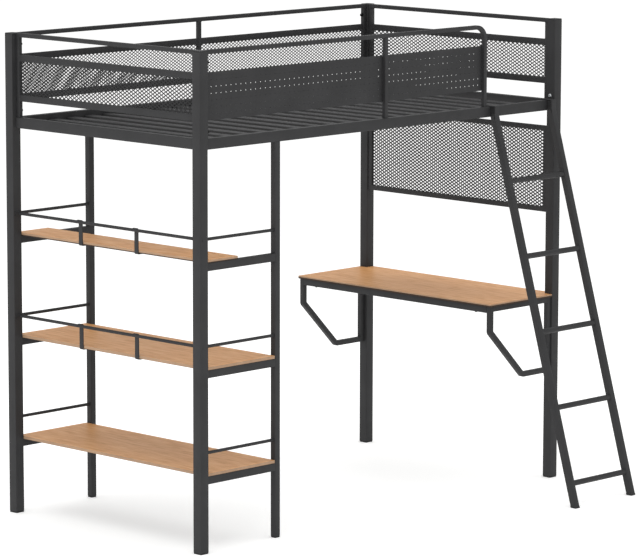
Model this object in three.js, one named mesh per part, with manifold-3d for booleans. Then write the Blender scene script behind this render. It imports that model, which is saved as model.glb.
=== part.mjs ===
// Loft bed with a desk, side shelves and a hook-on ladder, in millimetres.
// X runs along the bed (shelves at -X, desk at +X), Y from the ladder side (-Y) to the back, Z is up.
import * as THREE from "three";
import { mergeVertices } from "three/addons/utils/BufferGeometryUtils.js";
import Module from "manifold-3d";

const wasm = await Module();
wasm.setup();

// ---------------------------------------------------------------- driving dimensions

// Whole bed, over the corner posts.
const LENGTH = 1980;
const WIDTH = 1056;
const HEIGHT = 1840;

const FIT = 0.3; // gap kept between pieces that touch
const WALL = 1.2; // posts and bed rails
const THIN_WALL = 1; // guard, shelf, desk and ladder tubes

// Corner posts, their top caps and their feet.
const POST = 40;
const CAP_THICK = 3;
const FOOT_THICK = 5;
const PLUG_DEPTH = 14;
const PLUG_CLEARANCE = 0.4;

// Bed rails.
const RAIL_TOP = 1521;
const RAIL_HEIGHT = 40;
const RAIL_THICK = 25;
const SIDE_RAIL_SET_IN = 10; // from the posts' outer faces
const END_RAIL_SET_IN = 17;

// Slats: folded channels on two ledges, in two decks.
const SLAT_COUNT = 20;
const SLAT_WIDTH = 46;
const SLAT_HEIGHT = 12;
const SLAT_DROP = 20; // slat tops below the rail tops
const SLAT_SHEET = 1;
const LEDGE = 22;
const LEDGE_SHEET = 2;

// Guards above the rails.
const GUARD_TUBE = 16;
const GUARD_BEND = 48; // centre-line radius at the end of the front guard
const STRIP_HEIGHT = 25;
const STRIP_THICK = 10;
const UPPER_STRIP_TOP = 1758;
const LOWER_STRIP_TOP = 1607;
const PANEL_SHEET = 1.2;
const FRONT_PANEL_BOTTOM = 1584;
const ENTRY = 384; // clear way in between the front guard and the right post

// Mesh privacy panel over the desk.
const PRIVACY_TOP = 1414;
const PRIVACY_HEIGHT = 344;
const PRIVACY_BAR = 20;
const PRIVACY_THICK = 12;

// Shelf bay at the left end.
const SHELF_POST = 25;
const SHELF_BAY = 353; // clear between the corner posts and the shelf posts
const SHELF_TOPS = [296, 688.5, 1081];
const SHELF_NAMES = ["low", "middle", "top"];
const TOP_SHELF_DEPTH = 160;
const SHELF_RAIL_HEIGHT = 29;
const SHELF_RAIL_THICK = 25;
const BOARD = 12;
const BOARD_CLEARANCE = 3; // between a full-depth board and the shelf posts
const ROD = 12;
const ROD_RISE = 74; // rod centres above the board tops
const STRAP_WIDTH = 20;
const STRAP_THICK = 4;
const STRAP_SPACING = 304;
const STRAP_FOOT = 24;

// Desk at the right end.
const DESK_TOP = 745;
const DESK_DEPTH = 407;
const DESK_END_INSET = 1; // board ends inside the posts' outer faces
const DESK_TUBE = 20;
const DESK_FRONT_HEIGHT = 25;
const DESK_FRAME_INSET = 5;
const BRACKET_FOOT = 441; // centre height of the lowest bracket tube
const BRACKET_SHOULDER = 631; // centre height where the bracket starts to slope
const BRACKET_REACH = 152; // centre-line length of the lowest tube
const FIXING_HOLE = 8;
const FIXING_INSET = 28;

// Ladder, hooked over the front rail.
const STILE = 25;
const LADDER_SPACING = 335; // stile centres
const LADDER_CENTRE = 760;
const LADDER_LEAN = 0.292; // foot runs out this much for each unit of height
const LADDER_REST_GAP = 2; // stile back to rail face
const STILE_TOP = 1486;
const RUNG = 22;
const RUNG_COUNT = 5;
const FIRST_RUNG = 90.5;
const RUNG_PITCH = 286.4;
const HOOK_PLATE = 4;
const HOOK_LIP = 14;
const LADDER_FOOT_THICK = 8;
const LADDER_FOOT_BRIM = 1; // feet stand out this far round the stiles

// Drawing accuracy.
const OVERRUN = 1; // bores run this far past the ends they open
const RUNG_SIDES = 16;
const THIN_ROD_SIDES = 12;
const HOLE_SIDES = 8;
const BEND_STEPS = 10;

// ---------------------------------------------------------------- values worked out from them

const POST_INNER_X = LENGTH / 2 - POST;
const POST_INNER_Y = WIDTH / 2 - POST;
const POST_TOP = HEIGHT - CAP_THICK;
const RAIL_BOTTOM = RAIL_TOP - RAIL_HEIGHT;
const SIDE_Y = WIDTH / 2 - SIDE_RAIL_SET_IN - RAIL_THICK / 2;
const END_X = LENGTH / 2 - END_RAIL_SET_IN - RAIL_THICK / 2;
const SHELF_POST_X = -POST_INNER_X + SHELF_BAY + SHELF_POST / 2;
const GUARD_BASE = RAIL_TOP + FIT;
const FRONT_GUARD_END = POST_INNER_X - ENTRY;
const BAY_CENTRE_X = -POST_INNER_X + SHELF_BAY / 2;
const SIDES = [
  { name: "front", sign: -1 },
  { name: "back", sign: 1 },
];
const ENDS = [
  { name: "left", sign: -1 },
  { name: "right", sign: 1 },
];

// ---------------------------------------------------------------- materials

const steel = new THREE.MeshStandardMaterial({
  name: "powder_coated_steel",
  color: 0x444444,
  roughness: 0.55,
  metalness: 0.3,
});
const meshSteel = new THREE.MeshStandardMaterial({
  name: "expanded_steel_mesh",
  color: 0x3a3a3a,
  roughness: 0.6,
  metalness: 0.3,
});
const board = new THREE.MeshStandardMaterial({
  name: "wood_laminate",
  color: 0xc89b78,
  roughness: 0.5,
  metalness: 0,
});
const plastic = new THREE.MeshStandardMaterial({
  name: "black_plastic",
  color: 0x2a2a2a,
  roughness: 0.5,
  metalness: 0,
});

// ---------------------------------------------------------------- shape helpers

function toManifold(geometry) {
  const bare = geometry.index ? geometry.toNonIndexed() : geometry.clone();
  bare.deleteAttribute("normal");
  bare.deleteAttribute("uv");
  const merged = mergeVertices(bare, 1e-3);
  return new wasm.Manifold(
    new wasm.Mesh({
      numProp: 3,
      vertProperties: merged.attributes.position.array,
      triVerts: new Uint32Array(merged.index.array),
    }),
  );
}

function toGeometry(manifold) {
  const mesh = manifold.getMesh();
  const geometry = new THREE.BufferGeometry();
  geometry.setAttribute("position", new THREE.BufferAttribute(mesh.vertProperties, 3));
  geometry.setIndex(new THREE.BufferAttribute(mesh.triVerts, 1));
  return geometry;
}

function join(geometries) {
  return geometries.map(toManifold).reduce((whole, piece) => whole.add(piece));
}

// Outer shapes welded together, less their bores, which run into each other.
function weld(outers, bores) {
  return toGeometry(join(outers).subtract(join(bores)));
}

// A box given by its lowest and highest corners.
function block(low, high) {
  const size = high.map((value, axis) => value - low[axis]);
  const centre = high.map((value, axis) => (value + low[axis]) / 2);
  return new THREE.BoxGeometry(...size).translate(...centre);
}

function rectangleOutline(width, height) {
  return [
    new THREE.Vector2(-width / 2, -height / 2),
    new THREE.Vector2(width / 2, -height / 2),
    new THREE.Vector2(width / 2, height / 2),
    new THREE.Vector2(-width / 2, height / 2),
  ];
}

function circleOutline(diameter, sides) {
  return Array.from({ length: sides }, (_, i) => {
    const angle = ((i + 0.5) * 2 * Math.PI) / sides;
    return new THREE.Vector2(Math.cos(angle), Math.sin(angle)).multiplyScalar(diameter / 2);
  });
}

// Moves every edge of a counter-clockwise outline outwards by a distance.
function offsetOutline(points, distance) {
  return points.map((point, i) => {
    const before = points[(i + points.length - 1) % points.length];
    const after = points[(i + 1) % points.length];
    const into = point.clone().sub(before).normalize();
    const out = after.clone().sub(point).normalize();
    const normals = [new THREE.Vector2(into.y, -into.x), new THREE.Vector2(out.y, -out.x)];
    const bisector = normals[0].clone().add(normals[1]).normalize();
    return point.clone().addScaledVector(bisector, distance / bisector.dot(normals[0]));
  });
}

// An outline, less an inner outline, drawn out along +Z and centred on the origin.
function prism(outline, inner, length) {
  const shape = new THREE.Shape(outline);
  if (inner) shape.holes.push(new THREE.Path(inner));
  const geometry = new THREE.ExtrudeGeometry(shape, { depth: length, bevelEnabled: false });
  return geometry.translate(0, 0, -length / 2);
}

// Turns a prism so that its outline's x and y lie along the next two axes of the one it runs along.
const AXES = {
  x: [new THREE.Vector3(0, 1, 0), new THREE.Vector3(0, 0, 1), new THREE.Vector3(1, 0, 0)],
  y: [new THREE.Vector3(-1, 0, 0), new THREE.Vector3(0, 0, 1), new THREE.Vector3(0, 1, 0)],
  z: [new THREE.Vector3(1, 0, 0), new THREE.Vector3(0, 1, 0), new THREE.Vector3(0, 0, 1)],
};

function along(axis, geometry) {
  return geometry.applyMatrix4(new THREE.Matrix4().makeBasis(...AXES[axis]));
}

function boxTube(axis, width, height, wall, length) {
  const outline = rectangleOutline(width, height);
  return along(axis, prism(outline, offsetOutline(outline, -wall), length));
}

function roundTube(axis, diameter, wall, length) {
  const outline = circleOutline(diameter, THIN_ROD_SIDES);
  return along(axis, prism(outline, offsetOutline(outline, -wall), length));
}

function addMesh(group, name, geometry, material, x = 0, y = 0, z = 0) {
  const mesh = new THREE.Mesh(geometry, material.clone());
  mesh.name = name;
  mesh.position.set(x, y, z);
  group.add(mesh);
  return mesh;
}

// ---------------------------------------------------------------- posts

// A square plate with a plug that slides into the tube; the plug points along +Z.
function plugGeometry(outer, wall, plate) {
  const plug = outer / 2 - wall - PLUG_CLEARANCE;
  return toGeometry(
    join([
      block([-outer / 2, -outer / 2, 0], [outer / 2, outer / 2, plate]),
      block([-plug, -plug, plate / 2], [plug, plug, plate + PLUG_DEPTH]),
    ]),
  );
}

function cornerPost(side, end) {
  const group = new THREE.Group();
  const label = side.name + "_" + end.name;
  group.position.set(end.sign * (LENGTH - POST) * 0.5, side.sign * (WIDTH - POST) * 0.5, 0);
  const bottom = FOOT_THICK + FIT;
  const length = POST_TOP - FIT - bottom;
  const tube = boxTube("z", POST, POST, WALL, length);
  addMesh(group, "corner_post_" + label, tube, steel, 0, 0, bottom + length / 2);
  addMesh(group, "post_foot_" + label, plugGeometry(POST, WALL, FOOT_THICK), plastic);
  const capGeometry = plugGeometry(POST, WALL, CAP_THICK);
  const cap = addMesh(group, "post_cap_" + label, capGeometry, plastic, 0, 0, HEIGHT);
  cap.rotation.x = Math.PI;
  return group;
}

function shelfPost(side) {
  const group = new THREE.Group();
  group.position.set(SHELF_POST_X, side.sign * SIDE_Y, 0);
  const bottom = FOOT_THICK + FIT;
  const length = RAIL_BOTTOM - FIT - bottom;
  const tube = boxTube("z", SHELF_POST, SHELF_POST, THIN_WALL, length);
  addMesh(group, "shelf_post_" + side.name, tube, steel, 0, 0, bottom + length / 2);
  const foot = plugGeometry(SHELF_POST, THIN_WALL, FOOT_THICK);
  addMesh(group, "shelf_post_foot_" + side.name, foot, plastic);
  return group;
}

// ---------------------------------------------------------------- bed rails and slats

function sideRail(group, side) {
  const tube = boxTube("x", RAIL_THICK, RAIL_HEIGHT, WALL, 2 * (POST_INNER_X - FIT));
  const z = RAIL_TOP - RAIL_HEIGHT / 2;
  addMesh(group, "side_rail_" + side.name, tube, steel, 0, side.sign * SIDE_Y, z);
}

function endRail(group, end) {
  const tube = boxTube("y", RAIL_THICK, RAIL_HEIGHT, WALL, 2 * (POST_INNER_Y - FIT));
  const z = RAIL_TOP - RAIL_HEIGHT / 2;
  addMesh(group, "end_rail_" + end.name, tube, steel, end.sign * END_X, 0, z);
}

// Half of the slats, welded at both ends to an angle whose leg stands a little below the slat tops.
// The deck ends at the end rail, or at the posts if they reach further in.
function slatDeck(group, end) {
  const innerX = Math.min(END_X - RAIL_THICK / 2, POST_INNER_X) - FIT;
  const innerY = SIDE_Y - RAIL_THICK / 2 - FIT;
  const gap = (2 * innerX - SLAT_COUNT * SLAT_WIDTH) / (SLAT_COUNT + 1);
  const top = RAIL_TOP - SLAT_DROP;
  const bottom = top - SLAT_HEIGHT;
  const near = FIT / 2;
  const pieces = [];
  for (const side of SIDES) {
    const wall = side.sign * innerY;
    const edge = side.sign * (innerY - LEDGE);
    const skin = side.sign * (innerY - LEDGE_SHEET);
    const flat = [Math.min(wall, edge), Math.max(wall, edge)];
    const leg = [Math.min(wall, skin), Math.max(wall, skin)];
    pieces.push(block([near, flat[0], bottom - LEDGE_SHEET], [innerX, flat[1], bottom + SLAT_SHEET / 2]));
    pieces.push(block([near, leg[0], bottom - LEDGE_SHEET], [innerX, leg[1], top - LEDGE_SHEET]));
  }
  const reach = innerY - LEDGE_SHEET / 2;
  for (let i = 0; i < SLAT_COUNT / 2; i++) {
    const low = gap / 2 + i * (SLAT_WIDTH + gap);
    const high = low + SLAT_WIDTH;
    pieces.push(block([low, -reach, top - SLAT_SHEET], [high, reach, top]));
    for (const x of [low, high - SLAT_SHEET]) {
      pieces.push(block([x, -reach, bottom], [x + SLAT_SHEET, reach, top]));
    }
  }
  const deck = addMesh(group, "slat_deck_" + end.name, toGeometry(join(pieces)), steel);
  if (end.sign < 0) deck.rotation.z = Math.PI;
}

// ---------------------------------------------------------------- guards

// Flat frame in X and Z, standing on a rail: top tube, uprights and two strips between the end uprights.
// The bores meet inside, and open at the foot of each upright and at the ends of the top tube.
function guardFrameGeometry(span, uprightCentres) {
  const half = GUARD_TUBE / 2;
  const bore = half - THIN_WALL;
  const topCentre = HEIGHT - half;
  const outers = [block([-span / 2, -half, HEIGHT - GUARD_TUBE], [span / 2, half, HEIGHT])];
  const open = span / 2 + OVERRUN;
  const bores = [block([-open, -bore, topCentre - bore], [open, bore, topCentre + bore])];
  for (const x of uprightCentres) {
    outers.push(block([x - half, -half, GUARD_BASE], [x + half, half, topCentre]));
    bores.push(block([x - bore, -bore, GUARD_BASE - OVERRUN], [x + bore, bore, topCentre]));
  }
  const reach = span / 2 - half;
  for (const stripTop of [UPPER_STRIP_TOP, LOWER_STRIP_TOP]) {
    const thick = STRIP_THICK / 2;
    const low = stripTop - STRIP_HEIGHT;
    outers.push(block([-reach, -thick, low], [reach, thick, stripTop]));
    const inner = [low + THIN_WALL, stripTop - THIN_WALL];
    bores.push(block([-reach, THIN_WALL - thick, inner[0]], [reach, thick - THIN_WALL, inner[1]]));
  }
  return weld(outers, bores);
}

// Sheet between the two strips of a guard.
function guardSheet(width) {
  const height = UPPER_STRIP_TOP - STRIP_HEIGHT - LOWER_STRIP_TOP - 2 * FIT;
  return new THREE.BoxGeometry(width, PANEL_SHEET, height);
}

const SHEET_Z = (UPPER_STRIP_TOP - STRIP_HEIGHT + LOWER_STRIP_TOP) / 2;

function endGuard(end) {
  const group = new THREE.Group();
  const span = 2 * (POST_INNER_Y - FIT);
  const ends = (span - GUARD_TUBE) / 2;
  group.position.set(end.sign * END_X, 0, 0);
  group.rotation.z = Math.PI / 2;
  addMesh(group, "end_guard_" + end.name, guardFrameGeometry(span, [-ends, ends]), steel);
  const sheet = guardSheet(span - 2 * (GUARD_TUBE + FIT));
  addMesh(group, "end_guard_mesh_" + end.name, sheet, meshSteel, 0, 0, SHEET_Z);
  return group;
}

function backGuard() {
  const group = new THREE.Group();
  const span = 2 * (POST_INNER_X - FIT);
  const ends = (span - GUARD_TUBE) / 2;
  group.position.set(0, SIDE_Y, 0);
  addMesh(group, "back_guard", guardFrameGeometry(span, [-ends, 0, ends]), steel);
  const sheetWidth = ends - GUARD_TUBE - 2 * FIT;
  for (const end of ENDS) {
    const x = (end.sign * ends) / 2;
    addMesh(group, "back_guard_mesh_" + end.name, guardSheet(sheetWidth), meshSteel, x, 0, SHEET_Z);
  }
  return group;
}

// Outline of the front guard's top tube, seen from the front: level, round bend, then down to the rail.
// The overrun makes it longer at both open ends.
function bentTubeOutline(startX, endX, thick, overrun) {
  const centre = new THREE.Vector2(endX - GUARD_BEND, HEIGHT - GUARD_TUBE / 2 - GUARD_BEND);
  const outer = GUARD_BEND + thick / 2;
  const inner = GUARD_BEND - thick / 2;
  const base = GUARD_BASE - overrun;
  const shape = new THREE.Shape();
  shape.moveTo(startX - overrun, centre.y + inner);
  shape.lineTo(centre.x, centre.y + inner);
  shape.absarc(centre.x, centre.y, inner, Math.PI / 2, 0, true);
  shape.lineTo(centre.x + inner, base);
  shape.lineTo(centre.x + outer, base);
  shape.absarc(centre.x, centre.y, outer, 0, Math.PI / 2, false);
  shape.lineTo(startX - overrun, centre.y + outer);
  shape.closePath();
  return shape;
}

function bentTube(startX, endX, thick, overrun) {
  const shape = bentTubeOutline(startX, endX, thick, overrun);
  const geometry = new THREE.ExtrudeGeometry(shape, {
    depth: thick,
    bevelEnabled: false,
    curveSegments: BEND_STEPS,
  });
  return geometry.rotateX(Math.PI / 2).translate(0, thick / 2, 0);
}

// Front guard: a bent top tube, an upright at the post and one in the middle of the bed.
function frontGuard() {
  const group = new THREE.Group();
  const half = GUARD_TUBE / 2;
  const bore = half - THIN_WALL;
  const start = -POST_INNER_X + FIT;
  const end = FRONT_GUARD_END - half;
  const topCentre = HEIGHT - half;
  const uprights = [start + half, 0];
  const outers = [bentTube(start, end, GUARD_TUBE, 0)];
  const bores = [bentTube(start, end, 2 * bore, OVERRUN)];
  for (const x of uprights) {
    outers.push(block([x - half, -half, GUARD_BASE], [x + half, half, topCentre]));
    bores.push(block([x - bore, -bore, GUARD_BASE - OVERRUN], [x + bore, bore, topCentre]));
  }
  group.position.set(0, -SIDE_Y, 0);
  addMesh(group, "front_guard", weld(outers, bores), steel);
  const height = UPPER_STRIP_TOP - FRONT_PANEL_BOTTOM;
  const stops = [start + GUARD_TUBE, -half, half, end - half];
  const sheetY = half - PANEL_SHEET / 2;
  const z = FRONT_PANEL_BOTTOM + height / 2;
  ENDS.forEach((side, i) => {
    const low = stops[2 * i] + FIT;
    const high = stops[2 * i + 1] - FIT;
    const sheet = new THREE.BoxGeometry(high - low, PANEL_SHEET, height);
    addMesh(group, "front_guard_panel_" + side.name, sheet, steel, (low + high) / 2, sheetY, z);
  });
  return group;
}

// A closed ring of tube, lying in X and Z, with fixing holes that open its bore.
function ringFrame(centreLine, tubeWidth, tubeDepth, holes) {
  const half = tubeWidth / 2;
  const outer = prism(offsetOutline(centreLine, half), offsetOutline(centreLine, -half), tubeDepth);
  const slim = half - THIN_WALL;
  const bore = prism(
    offsetOutline(centreLine, slim),
    offsetOutline(centreLine, -slim),
    tubeDepth - 2 * THIN_WALL,
  );
  return weld([outer.rotateX(Math.PI / 2)], [bore.rotateX(Math.PI / 2), ...holes]);
}

// Mesh panel in a tube frame, between the right-hand posts over the desk.
function privacyPanel() {
  const group = new THREE.Group();
  const span = 2 * (POST_INNER_Y - FIT);
  const line = rectangleOutline(span - PRIVACY_BAR, PRIVACY_HEIGHT - PRIVACY_BAR);
  const holeZ = PRIVACY_HEIGHT / 2 - FIXING_INSET;
  const holes = [-holeZ, holeZ].map((z) =>
    along("x", prism(circleOutline(FIXING_HOLE, HOLE_SIDES), null, span + OVERRUN)).translate(0, 0, z),
  );
  group.position.set(END_X, 0, PRIVACY_TOP - PRIVACY_HEIGHT / 2);
  group.rotation.z = Math.PI / 2;
  addMesh(group, "privacy_frame", ringFrame(line, PRIVACY_BAR, PRIVACY_THICK, holes), steel);
  const inner = PRIVACY_BAR + FIT;
  const sheet = new THREE.BoxGeometry(span - 2 * inner, PANEL_SHEET, PRIVACY_HEIGHT - 2 * inner);
  addMesh(group, "privacy_mesh", sheet, meshSteel);
  return group;
}

// ---------------------------------------------------------------- shelves

function shelfLevel(index) {
  const group = new THREE.Group();
  const name = SHELF_NAMES[index];
  const top = SHELF_TOPS[index];
  const railTop = top - BOARD - FIT;
  const barLength = SHELF_BAY - 2 * FIT;
  for (const side of SIDES) {
    const y = side.sign * SIDE_Y;
    const rail = boxTube("x", SHELF_RAIL_THICK, SHELF_RAIL_HEIGHT, THIN_WALL, barLength);
    const railZ = railTop - SHELF_RAIL_HEIGHT / 2;
    addMesh(group, "shelf_rail_" + name + "_" + side.name, rail, steel, BAY_CENTRE_X, y, railZ);
    const rod = roundTube("x", ROD, THIN_WALL, barLength);
    addMesh(group, "shelf_rod_" + name + "_" + side.name, rod, steel, BAY_CENTRE_X, y, top + ROD_RISE);
  }
  const isTop = index === SHELF_TOPS.length - 1;
  const depth = isTop ? TOP_SHELF_DEPTH : SHELF_BAY - BOARD_CLEARANCE - FIT;
  const length = 2 * SIDE_Y + SHELF_RAIL_THICK;
  const plank = new THREE.BoxGeometry(depth, length, BOARD);
  const x = -POST_INNER_X + FIT + depth / 2;
  addMesh(group, "shelf_board_" + name, plank, board, x, 0, top - BOARD / 2);
  return group;
}

// Rod along the end of a shelf, with two welded straps that reach down over the board's edge.
function endStop(index) {
  const group = new THREE.Group();
  const name = SHELF_NAMES[index];
  const top = SHELF_TOPS[index];
  const pieces = [roundTube("y", ROD, THIN_WALL, 2 * (POST_INNER_Y - FIT))];
  const boardEdge = END_X - POST_INNER_X;
  const strapHigh = boardEdge - FIT;
  const strapLow = strapHigh - STRAP_THICK;
  const under = -ROD_RISE - BOARD - FIT;
  for (const y of [-STRAP_SPACING / 2, STRAP_SPACING / 2]) {
    const low = y - STRAP_WIDTH / 2;
    const high = y + STRAP_WIDTH / 2;
    const overRod = ROD / 2 - THIN_WALL / 2;
    const head = ROD / 2 + STRAP_THICK / 2;
    pieces.push(block([strapLow, low, under - STRAP_THICK], [strapHigh, high, head]));
    pieces.push(block([0, low, overRod], [strapHigh, high, head]));
    pieces.push(block([strapLow, low, under - STRAP_THICK], [strapLow + STRAP_FOOT, high, under]));
  }
  group.position.set(-END_X, 0, top + ROD_RISE);
  addMesh(group, "shelf_end_stop_" + name, toGeometry(join(pieces)), steel);
  return group;
}

// ---------------------------------------------------------------- desk

function deskBoard(group) {
  const outerX = LENGTH / 2;
  const innerX = outerX - DESK_DEPTH;
  const outerY = WIDTH / 2 - DESK_END_INSET;
  const notchX = POST_INNER_X - FIT;
  const notchY = POST_INNER_Y - FIT;
  const outline = [
    new THREE.Vector2(innerX, -outerY),
    new THREE.Vector2(notchX, -outerY),
    new THREE.Vector2(notchX, -notchY),
    new THREE.Vector2(outerX, -notchY),
    new THREE.Vector2(outerX, notchY),
    new THREE.Vector2(notchX, notchY),
    new THREE.Vector2(notchX, outerY),
    new THREE.Vector2(innerX, outerY),
  ];
  addMesh(group, "desk_board", prism(outline, null, BOARD), board, 0, 0, DESK_TOP - BOARD / 2);
}

// Bracket under each end of the desk: down, in at a slope, back to the post and up it again.
function deskBracket(side) {
  const group = new THREE.Group();
  const half = DESK_TUBE / 2;
  const topZ = DESK_TOP - BOARD - FIT - half;
  const frontX = LENGTH / 2 - DESK_DEPTH + DESK_FRAME_INSET + half;
  const backX = POST_INNER_X - FIT - half;
  const line = [
    new THREE.Vector2(frontX, topZ),
    new THREE.Vector2(frontX, BRACKET_SHOULDER),
    new THREE.Vector2(backX - BRACKET_REACH, BRACKET_FOOT),
    new THREE.Vector2(backX, BRACKET_FOOT),
    new THREE.Vector2(backX, topZ),
  ];
  const drill = prism(circleOutline(FIXING_HOLE, HOLE_SIDES), null, DESK_TUBE + 2 * OVERRUN);
  const holes = [BRACKET_FOOT + FIXING_INSET, topZ - FIXING_INSET].map((z) =>
    along("x", drill.clone()).translate(backX, 0, z),
  );
  const y = WIDTH / 2 - DESK_END_INSET - DESK_FRAME_INSET - half;
  group.position.set(0, side.sign * y, 0);
  addMesh(group, "desk_bracket_" + side.name, ringFrame(line, DESK_TUBE, DESK_TUBE, holes), steel);
  return group;
}

// Tubes along the desk between its brackets: one under the front edge and one between the posts.
function deskRails(group) {
  const bracketInner = WIDTH / 2 - DESK_END_INSET - DESK_FRAME_INSET - DESK_TUBE;
  const length = 2 * (bracketInner - FIT);
  const underBoard = DESK_TOP - BOARD - FIT;
  const frontX = LENGTH / 2 - DESK_DEPTH + DESK_FRAME_INSET + DESK_TUBE / 2;
  const front = boxTube("y", DESK_TUBE, DESK_FRONT_HEIGHT, THIN_WALL, length);
  addMesh(group, "desk_rail_front", front, steel, frontX, 0, underBoard - DESK_FRONT_HEIGHT / 2);
  const back = boxTube("y", DESK_TUBE, DESK_TUBE, THIN_WALL, 2 * (POST_INNER_Y - FIT));
  addMesh(group, "desk_rail_back", back, steel, END_X, 0, underBoard - DESK_TUBE / 2);
}

// ---------------------------------------------------------------- ladder

// Leans an upright shape over by a shear, so its level ends stay level.
function lean(geometry) {
  return geometry.applyMatrix4(new THREE.Matrix4().makeShear(0, 0, 0, 0, 0, LADDER_LEAN));
}

// Hook over the rail: up from the stile's front, across the rail and down behind it.
function hookPieces(x, stileFrontY) {
  const low = x - STILE / 2;
  const high = x + STILE / 2;
  const plateTop = RAIL_TOP + FIT + HOOK_PLATE;
  const behind = -SIDE_Y + RAIL_THICK / 2 + FIT;
  const weldedDown = STILE_TOP - STILE / 2;
  return [
    block([low, stileFrontY, weldedDown], [high, stileFrontY + HOOK_PLATE, plateTop]),
    block([low, stileFrontY, RAIL_TOP + FIT], [high, behind + HOOK_PLATE, plateTop]),
    block([low, behind, RAIL_TOP - HOOK_LIP], [high, behind + HOOK_PLATE, plateTop]),
  ];
}

function ladder() {
  const group = new THREE.Group();
  const leanAngle = Math.atan(LADDER_LEAN);
  const depth = STILE / Math.cos(leanAngle);
  const bore = STILE / 2 - THIN_WALL;
  const boreDepth = (2 * bore) / Math.cos(leanAngle);
  const bottom = LADDER_FOOT_THICK + FIT;
  // The stile backs pass just clear of the rail's lower outer edge.
  const backAtRail = -WIDTH / 2 + SIDE_RAIL_SET_IN - LADDER_REST_GAP;
  const backAt = (z) => backAtRail - LADDER_LEAN * (RAIL_BOTTOM - z);
  const centreAt = (z) => backAt(z) - depth / 2;
  const outers = [];
  const bores = [];
  for (const end of ENDS) {
    const x = LADDER_CENTRE + (end.sign * LADDER_SPACING) / 2;
    const height = STILE_TOP - bottom;
    const outer = new THREE.BoxGeometry(STILE, depth, height);
    const hollow = new THREE.BoxGeometry(2 * bore, boreDepth, height + 2 * OVERRUN);
    const middle = bottom + height / 2;
    outers.push(lean(outer).translate(x, centreAt(middle), middle));
    bores.push(lean(hollow).translate(x, centreAt(middle), middle));
    outers.push(...hookPieces(x, backAt(STILE_TOP) - depth));
    const brim = 2 * LADDER_FOOT_BRIM;
    const foot = lean(new THREE.BoxGeometry(STILE + brim, depth + brim, LADDER_FOOT_THICK));
    const footZ = LADDER_FOOT_THICK / 2;
    addMesh(group, "ladder_foot_" + end.name, foot, plastic, x, centreAt(footZ), footZ);
  }
  for (let i = 0; i < RUNG_COUNT; i++) {
    const z = FIRST_RUNG + i * RUNG_PITCH;
    const round = circleOutline(RUNG, RUNG_SIDES);
    const outer = along("x", prism(round, null, LADDER_SPACING - STILE / 2));
    const hollow = along("x", prism(offsetOutline(round, -THIN_WALL), null, LADDER_SPACING));
    outers.push(outer.translate(LADDER_CENTRE, centreAt(z), z));
    bores.push(hollow.translate(LADDER_CENTRE, centreAt(z), z));
  }
  addMesh(group, "ladder_frame", weld(outers, bores), steel);
  return group;
}

// ---------------------------------------------------------------- assembly

const bed = new THREE.Group();
for (const side of SIDES) {
  for (const end of ENDS) bed.add(cornerPost(side, end));
  bed.add(shelfPost(side));
  sideRail(bed, side);
  bed.add(deskBracket(side));
}
for (const end of ENDS) {
  endRail(bed, end);
  slatDeck(bed, end);
  bed.add(endGuard(end));
}
bed.add(backGuard());
bed.add(frontGuard());
bed.add(privacyPanel());
SHELF_NAMES.forEach((_, index) => bed.add(shelfLevel(index)));
bed.add(endStop(1));
bed.add(endStop(2));
deskBoard(bed);
deskRails(bed);
bed.add(ladder());

// The origin is on the floor, under the middle of everything including the ladder.
const bounds = new THREE.Box3().setFromObject(bed);
const middle = bounds.getCenter(new THREE.Vector3());
bed.position.set(-middle.x, -middle.y, 0);

const root = new THREE.Group();
root.add(bed);

export default root;
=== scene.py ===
"""Loft bed with a desk, side shelves and a hook-on ladder.

Laid out as a Blender add-on and run as a script. Every length is in metres, in the frame of the
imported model: X runs along the bed from the shelves to the desk, Y from the ladder side to the
back, Z is up.
"""

import math

import bmesh
import bpy
from bpy.props import FloatProperty, FloatVectorProperty, IntProperty, PointerProperty
from bpy.types import NodeSocket, Operator, Panel, PropertyGroup
from mathutils import Matrix, Vector


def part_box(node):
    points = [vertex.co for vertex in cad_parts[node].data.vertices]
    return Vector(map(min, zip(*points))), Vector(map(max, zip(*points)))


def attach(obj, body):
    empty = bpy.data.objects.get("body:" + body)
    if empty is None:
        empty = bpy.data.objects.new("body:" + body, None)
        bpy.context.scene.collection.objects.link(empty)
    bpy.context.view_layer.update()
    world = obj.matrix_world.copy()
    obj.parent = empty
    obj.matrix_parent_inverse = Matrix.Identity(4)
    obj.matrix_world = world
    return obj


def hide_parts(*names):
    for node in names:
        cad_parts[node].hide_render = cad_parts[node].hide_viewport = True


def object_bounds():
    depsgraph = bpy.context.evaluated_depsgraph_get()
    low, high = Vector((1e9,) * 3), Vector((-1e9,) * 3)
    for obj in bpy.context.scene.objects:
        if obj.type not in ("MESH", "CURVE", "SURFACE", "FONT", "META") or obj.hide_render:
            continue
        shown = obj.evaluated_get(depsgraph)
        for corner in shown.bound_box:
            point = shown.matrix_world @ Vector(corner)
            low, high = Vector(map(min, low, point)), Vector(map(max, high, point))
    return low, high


bl_info = {
    "name": "Loft bed with desk",
    "version": (1, 0, 0),
    "blender": (4, 5, 0),
    "location": "View3D > Sidebar > Loft bed",
    "description": "A steel loft bed with shelves, desk and ladder round its packed frame",
    "category": "Add Mesh",
}

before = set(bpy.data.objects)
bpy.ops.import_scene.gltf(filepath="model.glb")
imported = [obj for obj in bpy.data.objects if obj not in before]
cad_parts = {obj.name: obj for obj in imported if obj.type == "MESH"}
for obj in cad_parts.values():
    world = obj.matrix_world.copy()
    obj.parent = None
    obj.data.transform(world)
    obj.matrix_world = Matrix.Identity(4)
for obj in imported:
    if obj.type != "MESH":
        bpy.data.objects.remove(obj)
CAD_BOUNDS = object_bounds()

MM = 0.001
X_AXIS, Y_AXIS, Z_AXIS = Vector((1, 0, 0)), Vector((0, 1, 0)), Vector((0, 0, 1))
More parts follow.
